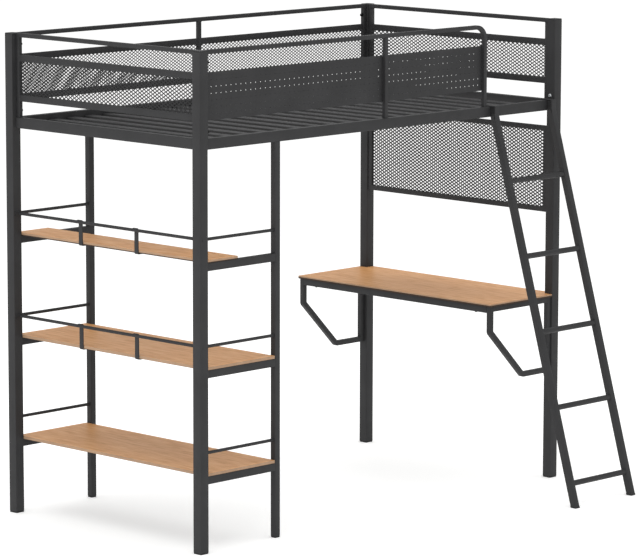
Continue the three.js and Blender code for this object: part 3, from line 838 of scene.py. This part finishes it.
def hole_cell(bm, shared, low, high, centre, xs, zs, diameter, sides=16):
    """One square of sheet round a hole; its border points are shared with its neighbours."""
    (x, z), (x0, x1), (z0, z1) = centre, xs, zs
    border = [(x1, z), (x1, z1), (x, z1), (x0, z1), (x0, z), (x0, z0), (x, z0), (x1, z0)]
    step = sides // len(border)
    layers = []
    for y in (low.y, high.y):
        for px, pz in border:
            if (px, y, pz) not in shared:
                shared[px, y, pz] = bm.verts.new((px, y, pz))
        outer = [shared[px, y, pz] for px, pz in border]
        points = ring(circle(diameter, sides), Vector((x, y, z)), X_AXIS, Z_AXIS)
        rim = [bm.verts.new(point) for point in points]
        for i, here in enumerate(outer):
            run = [rim[(i * step + k) % sides] for k in range(step + 1)]
            bm.faces.new([here, outer[(i + 1) % len(outer)], *run[::-1]])
        layers.append((outer, rim))
    (front, front_rim), (back, back_rim) = layers
    for i in range(sides):
        j = (i + 1) % sides
        bm.faces.new((front_rim[i], front_rim[j], back_rim[j], back_rim[i]))
    for i, here in enumerate(border):
        j = (i + 1) % len(border)
        there = border[j]
        if here[0] == there[0] in (low.x, high.x) or here[1] == there[1] in (low.z, high.z):
            bm.faces.new((front[i], front[j], back[j], back[i]))


class LOFTBED_OT_mesh_sheets(Operator):
    """Diamond mesh in the end guards, the back guard and the privacy panel"""

    bl_idname = "loft_bed.mesh_sheets"
    bl_label = "Mesh sheets"

    def execute(self, context):
        guards = context.scene.loft_bed.guards
        end_grid = guards.end_pitch, guards.end_rise
        back_grid = guards.back_pitch, guards.back_rise
        sheets = [("end_guard_mesh_" + end, "y", *end_grid, guards.end_opening) for end in ENDS]
        sheets += [("back_guard_mesh_" + end, "x", *back_grid, guards.back_opening) for end in ENDS]
        sheets.append(("privacy_mesh", "y", *end_grid, guards.privacy_opening))
        for node, *shape in sheets:
            bm = bmesh.new()
            diamond_mesh(bm, *corners(node), *shape)
            make_piece(node + "_sheet", bm, node, ["mesh"])
        return {"FINISHED"}


class LOFTBED_OT_front_panels(Operator):
    """Perforated sheets of the front guard"""

    bl_idname = "loft_bed.front_panels"
    bl_label = "Front panels"

    def execute(self, context):
        for end in ENDS:
            node = "front_guard_panel_" + end
            bm = bmesh.new()
            perforated_panel(bm, *corners(node), context.scene.loft_bed.guards)
            make_piece(node + "_sheet", bm, node)
        return {"FINISHED"}


# ---------------------------------------------------------------- guards


def frame_members(bm, low, high, axis, uprights, guards, tubes):
    """Top tube, uprights and two strips of a flat guard, with weld beads where they meet."""
    run = RUNS[axis][2]
    through = X_AXIS if axis == "y" else Y_AXIS
    centre = (low + high) / 2
    half = abs((high - low).dot(run)) / 2
    side, edge = guards.tube, tubes.slim_edge

    def point(place, height, off=0.0):
        """A point along the guard at a height, a little off its middle plane."""
        at = centre + run * place + through * off
        return Vector((at.x, at.y, height))

    def member(start, end, bottom, top, thick, direction):
        """A tube between two places along the guard and two heights."""
        box = point(start, bottom, -thick / 2), point(end, top, thick / 2)
        tube(bm, *box, direction, edge)

    member(-half, half, high.z - side, high.z, side, axis)
    for place in uprights:
        member(place - side / 2, place + side / 2, low.z, high.z - side, side, "z")
        square = rounded(side, side, edge)
        bead(bm, square, point(place, high.z - side), X_AXIS, Y_AXIS, tubes.bead)
    strip = rounded(guards.strip_thick, guards.strip_height, edge)
    for top in (guards.upper_strip, guards.lower_strip):
        for left, right in zip(uprights, uprights[1:]):
            start, end = left + side / 2, right - side / 2
            member(start, end, top - guards.strip_height, top, guards.strip_thick, axis)
            for place in (start, end):
                joint = point(place, top - guards.strip_height / 2)
                bead(bm, strip, joint, through, Z_AXIS, tubes.bead)


class LOFTBED_OT_guards(Operator):
    """Tube frames of the end guards and the back guard"""

    bl_idname = "loft_bed.guards"
    bl_label = "End and back guards"

    def execute(self, context):
        settings = context.scene.loft_bed
        for node, axis in (("end_guard_left", "y"), ("end_guard_right", "y"), ("back_guard", "x")):
            low, high = corners(node)
            half = (abs((high - low).dot(RUNS[axis][2])) - settings.guards.tube) / 2
            uprights = [-half, 0, half] if node == "back_guard" else [-half, half]
            bm = bmesh.new()
            frame_members(bm, low, high, axis, uprights, settings.guards, settings.tubes)
            make_piece(node + "_frame", bm, node)
        return {"FINISHED"}


class LOFTBED_OT_front_guard(Operator):
    """Bent top tube and uprights of the front guard"""

    bl_idname = "loft_bed.front_guard"
    bl_label = "Front guard"

    def execute(self, context):
        settings = context.scene.loft_bed
        side, edge = settings.guards.tube, settings.tubes.slim_edge
        square = rounded(side, side, edge)
        low, high = corners("front_guard")
        y = (low.y + high.y) / 2
        top, far = high.z - side / 2, high.x - side / 2
        path = [Vector((low.x, y, top)), Vector((far, y, top)), Vector((far, y, low.z))]
        bm = bmesh.new()
        sweep(bm, square, path, Y_AXIS, [0, settings.tubes.bend, 0])
        half = Vector((side / 2, side / 2, 0))
        for x in (low.x + side / 2, 0.0):
            foot, joint = Vector((x, y, low.z)), Vector((x, y, high.z - side))
            tube(bm, foot - half, joint + half, "z", edge)
            bead(bm, square, joint, X_AXIS, Y_AXIS, settings.tubes.bead)
        make_piece("front_guard_frame", bm, "front_guard")
        return {"FINISHED"}


class LOFTBED_OT_privacy_frame(Operator):
    """Mitred tube frame of the mesh panel over the desk"""

    bl_idname = "loft_bed.privacy_frame"
    bl_label = "Privacy panel frame"

    def execute(self, context):
        low, high = corners("privacy_frame")
        mesh_low, mesh_high = corners("privacy_mesh")
        side = (high.z - low.z - (mesh_high.z - mesh_low.z)) / 2
        x, inset = (low.x + high.x) / 2, side / 2
        path = [
            Vector((x, low.y + inset, low.z + inset)), Vector((x, high.y - inset, low.z + inset)),
            Vector((x, high.y - inset, high.z - inset)), Vector((x, low.y + inset, high.z - inset)),
        ]
        bm = bmesh.new()
        outline = rounded(side, high.x - low.x, context.scene.loft_bed.tubes.slim_edge)
        sweep(bm, outline, path, X_AXIS, closed=True)
        make_piece("privacy_panel_frame", bm, "privacy_frame")
        return {"FINISHED"}


# ---------------------------------------------------------------- shelves and desk


def board_piece(name, node, outline, shade_layer, edge):
    """A printed board from its outline in plan, with banded edges over a dark layer of painted
    shade at its lower edge and underside.
    """
    low, high = corners(node)
    bm = bmesh.new()
    bar(bm, outline, [Z_AXIS * z for z in (low.z, low.z + shade_layer, high.z)], X_AXIS, Y_AXIS)
    for face in bm.faces:
        height = face.calc_center_median().z
        # the upper edge takes the band; the lower edge and the underside take the painted shade
        if height <= high.z - edge:
            face.material_index = 1 if height > low.z + shade_layer else 2
    make_piece(name, bm, node, ["wood", "band", "shade_layer"], bevel=edge)


class LOFTBED_OT_shelves(Operator):
    """Shelf boards, the rails under them and the rods over them"""

    bl_idname = "loft_bed.shelves"
    bl_label = "Shelves"

    def execute(self, context):
        settings = context.scene.loft_bed
        boards = settings.boards
        for level in LEVELS:
            node = "shelf_board_" + level
            low, high = corners(node)
            outline = [(low.x, low.y), (high.x, low.y), (high.x, high.y), (low.x, high.y)]
            shade_layer = boards.top_shade_layer if level == "top" else boards.shelf_shade_layer
            board_piece(level + "_shelf", node, outline, shade_layer, boards.edge)
            for side in SIDES:
                rail = f"shelf_rail_{level}_{side}"
                tube_piece(rail + "_tube", rail, "x", settings.tubes.slim_edge)
                self.rod(f"shelf_rod_{level}_{side}", boards.rod, settings.tubes.bead)
        return {"FINISHED"}

    def rod(self, node, diameter, width):
        """A thin round rod with a weld bead at each end."""
        low, high = corners(node)
        at = middle(node)
        ends = [Vector((x, at.y, at.z)) for x in (low.x, high.x)]
        bm = bmesh.new()
        welded_rod(bm, diameter, ends, width / 2, width)
        make_piece(node + "_bar", bm, node)


class LOFTBED_OT_end_stops(Operator):
    """Rods over the outer edges of two shelves, with straps bent round the boards"""

    bl_idname = "loft_bed.end_stops"
    bl_label = "Shelf end stops"

    def execute(self, context):
        boards = context.scene.loft_bed.boards
        for level in ("middle", "top"):
            node = "shelf_end_stop_" + level
            low, high = corners(node)
            height = corners("shelf_board_" + level)[1].z + boards.rod_rise
            x = low.x + boards.rod / 2
            bm = bmesh.new()
            ends = [Vector((x, y, height)) for y in (low.y, high.y)]
            bar(bm, circle(boards.rod), ends, -X_AXIS, Z_AXIS)
            self.tabs(bm, x, low, high, height)
            for sign in (-1, 1):
                y = centre_y() + sign * boards.strap_spacing / 2
                self.strap(bm, Vector((x, y, height)), low.z, boards)
            make_piece(node + "_rod", bm, node)
        return {"FINISHED"}

    def tabs(self, bm, x, low, high, height):
        """A flat tab at each end of the rod, against its post, for the bolt beside the rod."""
        half_high, thick, reach, beyond = 9 * MM, 3 * MM, 20 * MM, 7 * MM
        corner = inset = 4 * MM
        outer = max(x - reach, corners("corner_post_front_left")[0].x + inset)
        for start, end in ((low.y, low.y + thick), (high.y - thick, high.y)):
            near = Vector((outer, start, height - half_high))
            tube(bm, near, Vector((x + beyond, end, height + half_high)), "y", corner)

    def strap(self, bm, rod, bottom, boards):
        """A flat strap: over the rod, down past the board's edge and in under it."""
        half = boards.strap_thick / 2
        face = corners("shelf_board_top")[0].x - CLEAR - half
        start = rod.x - boards.rod * 0.2  # a little past the rod's crown
        over, under = rod.z + boards.rod / 2, bottom + half
        end = face - half + boards.strap_foot
        route = [(start, over), (face, over), (face, under), (end, under)]
        path = [Vector((x, rod.y, z)) for x, z in route]
        outline = rounded(boards.strap_thick, boards.strap_width, PLATE_EDGE)
        sweep(bm, outline, path, Y_AXIS, [0, boards.strap_thick, boards.strap_thick, 0])


class LOFTBED_OT_desk(Operator):
    """Desk board, its brackets and the rails under it"""

    bl_idname = "loft_bed.desk"
    bl_label = "Desk"

    def execute(self, context):
        settings = context.scene.loft_bed
        low, high = corners("desk_board")
        post = corners("corner_post_front_right")[0].x - CLEAR
        notch = corners("corner_post_back_right")[0].y - CLEAR - centre_y()
        near, far = centre_y() - notch, centre_y() + notch
        outline = [
            (low.x, low.y), (post, low.y), (post, near), (high.x, near),
            (high.x, far), (post, far), (post, high.y), (low.x, high.y),
        ]
        boards = settings.boards
        board_piece("desk_top", "desk_board", outline, boards.desk_shade_layer, boards.edge)
        for side in SIDES:
            self.bracket("desk_bracket_" + side, boards, settings.tubes)
        for node in ("desk_rail_front", "desk_rail_back"):
            tube_piece(node + "_tube", node, "y", settings.tubes.slim_edge)
        return {"FINISHED"}

    def bracket(self, node, boards, tubes):
        """A closed loop of square tube: down at the front, in at a slope, back along the post."""
        low, high = corners(node)
        side = boards.bracket_tube
        y = (low.y + high.y) / 2
        front, back, top = low.x + side / 2, high.x - side / 2, high.z - side / 2
        route = [
            (front, top), (front, boards.shoulder), (back - boards.reach, boards.foot),
            (back, boards.foot), (back, top),
        ]
        path = [Vector((x, y, z)) for x, z in route]
        radii = [0, tubes.bracket_bend, tubes.bracket_bend, 0, 0]
        bm = bmesh.new()
        sweep(bm, rounded(side, side, tubes.slim_edge), path, Y_AXIS, radii, closed=True)
        make_piece(node + "_loop", bm, node)


# ---------------------------------------------------------------- ladder


OPEN_DEPTH = 50 * MM  # how far down the stiles' open tops are hollow
SHOE_CORNER = 2.5 * MM
# How far up a ladder shoe, against its height, and how far in from its sides.
SHOE_STEPS = ((0, 1.2 * MM), (0.12, 0.2 * MM), (0.22, 0), (0.86, 0), (1, 0.9 * MM))


class LOFTBED_OT_ladder(Operator):
    """Leaning ladder with round rungs, flat hooks and plastic feet"""

    bl_idname = "loft_bed.ladder"
    bl_label = "Ladder"

    def execute(self, context):
        settings = context.scene.loft_bed
        ladder, tubes = settings.ladder, settings.tubes
        low, high = corners("ladder_frame")
        depth = ladder.stile * math.sqrt(1 + ladder.lean ** 2)
        front_foot = low.y + depth / 2

        def centre(x, z):
            """Point on a stile's centre line."""
            return Vector((x, front_foot + ladder.lean * (z - low.z), z))

        bm, shade_blocks = bmesh.new(), bmesh.new()
        places = [low.x + ladder.stile / 2, high.x - ladder.stile / 2]
        for x in places:
            self.stile(bm, centre(x, low.z), centre(x, ladder.top), depth, settings)
            front = centre(x, ladder.top).y - depth / 2
            self.hook(bm, x, front, ladder)
            self.pad(shade_blocks, x, front, ladder)
        for i in range(ladder.rungs):
            ends = [centre(x, ladder.first + i * ladder.pitch) for x in places]
            welded_rod(bm, ladder.rung, ends, ladder.stile / 2 + OFF_FACE, tubes.bead)
        make_piece("ladder", bm, "ladder_frame", body="ladder")
        # black blocks in the hooks: painted shade standing in for the shadow there
        make_piece("ladder_hook_pads", shade_blocks, looks=["plastic"], body="ladder")
        for end in ENDS:
            self.shoe(end + "_ladder_shoe", "ladder_foot_" + end, ladder.lean)
        return {"FINISHED"}

    def stile(self, bm, foot, top, depth, settings):
        """A leaning tube cut level at both ends and open at the top."""
        side, wall = settings.ladder.stile, settings.tubes.wall
        edge = settings.tubes.slim_edge
        outer = rounded(side, depth, edge)
        inner = rounded(side - 2 * wall, depth - 2 * wall, edge / 2)
        below = top - (top - foot).normalized() * OPEN_DEPTH
        rings = [(outer, foot), (outer, top), (inner, top), (inner, below)]
        skin(bm, [ring(outline, at, X_AXIS, Y_AXIS) for outline, at in rings])

    def hook(self, bm, x, front, ladder):
        """A flat bar up from the stile's front, over the rail and down behind it."""
        rail = corners("side_rail_front")[1]
        half = ladder.plate / 2
        over, behind = rail.z + CLEAR + half, rail.y + CLEAR + half
        route = [
            (front + half, ladder.top - ladder.stile / 2), (front + half, over),
            (behind, over), (behind, rail.z - ladder.lip),
        ]
        path = [Vector((x, y, z)) for y, z in route]
        bend = ladder.plate * 0.9  # a little tighter than the plate is thick
        sweep(bm, rounded(ladder.plate, ladder.stile, PLATE_EDGE), path, X_AXIS, [0, bend, bend, 0])

    def pad(self, bm, x, front, ladder):
        """A black block inside a hook, between its plate and the rail: painted shade standing in
        for the shadow that falls in the hook.
        """
        play, rise, drop, corner = 0.6 * MM, 1 * MM, 1.5 * MM, 3 * MM
        rail_low, rail_high = corners("side_rail_front")
        half = ladder.stile / 2 - play
        near = Vector((x - half, front + ladder.plate + OFF_FACE, ladder.top + rise))
        far = Vector((x + half, rail_low.y - play, rail_high.z - drop))
        tube(bm, near, far, "x", corner)

    def shoe(self, name, node, lean):
        """A moulded shoe under a stile, leaning with it, drawn in at its sole and its mouth."""
        low, high = corners(node)
        run = lean * (high.z - low.z)
        width, depth = high.x - low.x, high.y - low.y - run
        foot = Vector(((low.x + high.x) / 2, low.y + depth / 2, low.z))
        rise = Vector((0, run, high.z - low.z))
        bm = bmesh.new()
        rings = []
        for part, inset in SHOE_STEPS:
            outline = rounded(width - 2 * inset, depth - 2 * inset, SHOE_CORNER)
            rings.append(ring(outline, foot + rise * part, X_AXIS, Y_AXIS))
        skin(bm, rings)
        make_piece(name, bm, node, ["plastic"], body="ladder")


# ---------------------------------------------------------------- fasteners


# A round block under a board with a screw head on it, as (radius, height) from the board down.
SCREW_PROFILE = ((6 * MM, 0), (6 * MM, 6 * MM), (5 * MM, 8 * MM), (2 * MM, 9 * MM))


class LOFTBED_OT_fasteners(Operator):
    """Bolts through the guards and posts, and screws under the boards"""

    bl_idname = "loft_bed.fasteners"
    bl_label = "Fasteners"

    def execute(self, context):
        settings = context.scene.loft_bed
        fasteners = settings.fasteners
        self.guard_bolts(fasteners, settings.guards.tube)
        self.end_stop_bolts(fasteners, settings.boards.rod_rise)
        self.board_screws(fasteners)
        self.bright_bolt(fasteners)
        return {"FINISHED"}

    def guard_bolts(self, fasteners, side):
        """Two bolts along the bed through each guard upright that stands at a post."""
        bm = bmesh.new()
        low, high = corners("back_guard")
        back_y, front_y = middle("back_guard").y, middle("front_guard").y
        front_x = corners("front_guard")[0].x
        size = fasteners.guard_head, fasteners.guard_height
        for z in (high.z - fasteners.guard_upper, low.z + fasteners.guard_lower):
            bolt(bm, Vector((low.x + side, back_y, z)), X_AXIS, *size)
            bolt(bm, Vector((high.x - side, back_y, z)), -X_AXIS, *size)
            bolt(bm, Vector((front_x + side, front_y, z)), X_AXIS, *size)
        make_piece("guard_bolts", bm, looks=["screw"])

    def end_stop_bolts(self, fasteners, rise):
        """Bolts through the left posts into the tabs of the shelf end stops."""
        bm = bmesh.new()
        x = middle("corner_post_front_left").x - fasteners.stop_inset
        head, height = fasteners.stop_head, fasteners.stop_height
        front, back = corners("corner_post_front_left")[0].y, corners("corner_post_back_left")[1].y
        for level in ("middle", "top"):
            z = corners("shelf_board_" + level)[1].z + rise
            bolt(bm, Vector((x, front + height, z)), -Y_AXIS, head, height)
            bolt(bm, Vector((x, back - height, z)), Y_AXIS, head, height)
        make_piece("end_stop_bolts", bm, looks=["screw"])

    def board_screws(self, fasteners):
        """Screw heads on blocks under the shelves, and bolt heads under the desk's front rail."""
        bm = bmesh.new()
        for level in LEVELS:
            low = corners("shelf_board_" + level)[0]
            for sign in (-1, 1):
                y = centre_y() + sign * fasteners.board_spacing / 2
                at = Vector((low.x + fasteners.board_inset, y, low.z - OFF_FACE))
                turned(bm, at, -Z_AXIS, SCREW_PROFILE)
        x, bottom = middle("desk_rail_front").x, corners("desk_rail_front")[0].z
        for sign in (-1, 1):
            y = centre_y() + sign * fasteners.desk_spacing / 2
            at = Vector((x, y, bottom + OFF_FACE))
            bolt(bm, at, -Z_AXIS, fasteners.desk_head, fasteners.desk_height)
        make_piece("board_screws", bm, looks=["screw"])

    def bright_bolt(self, fasteners):
        """Zinc-plated bolt on the inner face of the front right post, just over the side rail."""
        bm = bmesh.new()
        rail_top = corners("side_rail_front")[1].z
        at = middle("side_rail_front")
        at.x, at.z = corners("corner_post_front_right")[0].x, rail_top + fasteners.post_rise
        bolt(bm, at, -X_AXIS, fasteners.post_head, fasteners.post_height)
        make_piece("post_bolt", bm, looks=["zinc"])


# ---------------------------------------------------------------- stage


FLOOR_HALF = 60.0  # half the floor's side, so far out that its edge isn't seen
CLIP_END = 200
SENSOR_WIDTH = 36  # in millimetres, as the lens is
# Each lamp's setting, the side of its square and its place.
LAMPS = (
    ("overhead", 8.0, Vector((0, 0, 6))),
    ("left", 5.0, Vector((-5.5, -0.5, 2))),
    ("front", 5.0, Vector((0, -6, 2))),
)


class LOFTBED_OT_stage(Operator):
    """Pale floor, soft studio light and the camera"""

    bl_idname = "loft_bed.stage"
    bl_label = "Stage"

    def execute(self, context):
        stage = context.scene.loft_bed.stage
        self.floor(context)
        self.lights(context, stage)
        self.camera(context, stage)
        context.scene.view_settings.view_transform = "Standard"
        return {"FINISHED"}

    def floor(self, context):
        """A wide level floor under the feet."""
        bm = bmesh.new()
        plan = [(x * FLOOR_HALF, y * FLOOR_HALF) for x, y in ((-1, -1), (1, -1), (1, 1), (-1, 1))]
        bm.faces.new([bm.verts.new((x, y, 0)) for x, y in plan])
        mesh = bpy.data.meshes.new("studio_floor")
        bm.to_mesh(mesh)
        bm.free()
        mesh.materials.append(finish("floor"))
        floor = bpy.data.objects.new("studio_floor", mesh)
        context.scene.collection.objects.link(floor)

    def lights(self, context, stage):
        """Even light from all round, and three large soft lamps."""
        world = bpy.data.worlds.new("studio")
        world.use_nodes = True
        world.node_tree.nodes["Background"].inputs["Color"].default_value = (1, 1, 1, 1)
        world.node_tree.nodes["Background"].inputs["Strength"].default_value = stage.sky
        context.scene.world = world
        aim = (CAD_BOUNDS[0] + CAD_BOUNDS[1]) / 2
        for name, size, place in LAMPS:
            data = bpy.data.lights.new(name, "AREA")
            data.energy = getattr(stage, name)
            data.size = size
            lamp = bpy.data.objects.new(name, data)
            lamp.location = place
            lamp.rotation_mode = "QUATERNION"
            lamp.rotation_quaternion = (aim - place).to_track_quat("-Z", "Y")
            context.scene.collection.objects.link(lamp)

    def camera(self, context, stage):
        """A long lens from the shelf end of the ladder side, a little above the bed."""
        level = math.cos(stage.elevation)
        side, front = math.sin(stage.azimuth) * level, -math.cos(stage.azimuth) * level
        back = Vector((side, front, math.sin(stage.elevation)))
        data = bpy.data.cameras.new("camera")
        data.lens = stage.lens
        data.sensor_width = SENSOR_WIDTH
        data.sensor_fit = "HORIZONTAL"
        data.clip_end = CLIP_END
        camera = bpy.data.objects.new("camera", data)
        camera.location = Vector(stage.aim) + Y_AXIS * centre_y() + back * stage.distance
        camera.rotation_mode = "QUATERNION"
        roll = Matrix.Rotation(stage.roll, 3, back).to_quaternion()
        camera.rotation_quaternion = roll @ (-back).to_track_quat("-Z", "Y")
        context.scene.collection.objects.link(camera)
        context.scene.camera = camera


# ---------------------------------------------------------------- add-on


STEPS = (
    LOFTBED_OT_posts, LOFTBED_OT_rails, LOFTBED_OT_slats, LOFTBED_OT_guards,
    LOFTBED_OT_front_guard, LOFTBED_OT_mesh_sheets, LOFTBED_OT_front_panels,
    LOFTBED_OT_privacy_frame, LOFTBED_OT_shelves, LOFTBED_OT_end_stops, LOFTBED_OT_desk,
    LOFTBED_OT_ladder, LOFTBED_OT_fasteners, LOFTBED_OT_stage,
)


class LOFTBED_PT_sidebar(Panel):
    """Buttons for each step and the sizes behind them"""

    bl_idname = "LOFTBED_PT_sidebar"
    bl_label = "Loft bed"
    bl_space_type = "VIEW_3D"
    bl_region_type = "UI"
    bl_category = "Loft bed"

    def draw(self, context):
        for step in STEPS:
            self.layout.operator(step.bl_idname, text=step.bl_label)
        settings = context.scene.loft_bed
        for group in settings.bl_rna.properties.keys():
            if group in {"rna_type", "name"}:
                continue
            box = self.layout.box()
            box.label(text=settings.bl_rna.properties[group].name)
            values = getattr(settings, group)
            for name in values.bl_rna.properties.keys():
                if name not in {"rna_type", "name"}:
                    box.prop(values, name)


CLASSES = (
    LoftBedTubes, LoftBedSlats, LoftBedGuards, LoftBedBoards, LoftBedLadder, LoftBedColours,
    LoftBedFasteners, LoftBedStage, LoftBedSettings, *STEPS, LOFTBED_PT_sidebar,
)


def register():
    """Adds the settings, the steps and the sidebar panel."""
    for cls in CLASSES:
        bpy.utils.register_class(cls)
    bpy.types.Scene.loft_bed = PointerProperty(type=LoftBedSettings)


def unregister():
    """Takes them away again."""
    del bpy.types.Scene.loft_bed
    for cls in reversed(CLASSES):
        bpy.utils.unregister_class(cls)


def main():
    """Builds everything in order."""
    register()
    for step in STEPS:
        group, name = step.bl_idname.split(".")
        getattr(getattr(bpy.ops, group), name)()


if __name__ == "__main__":
    main()
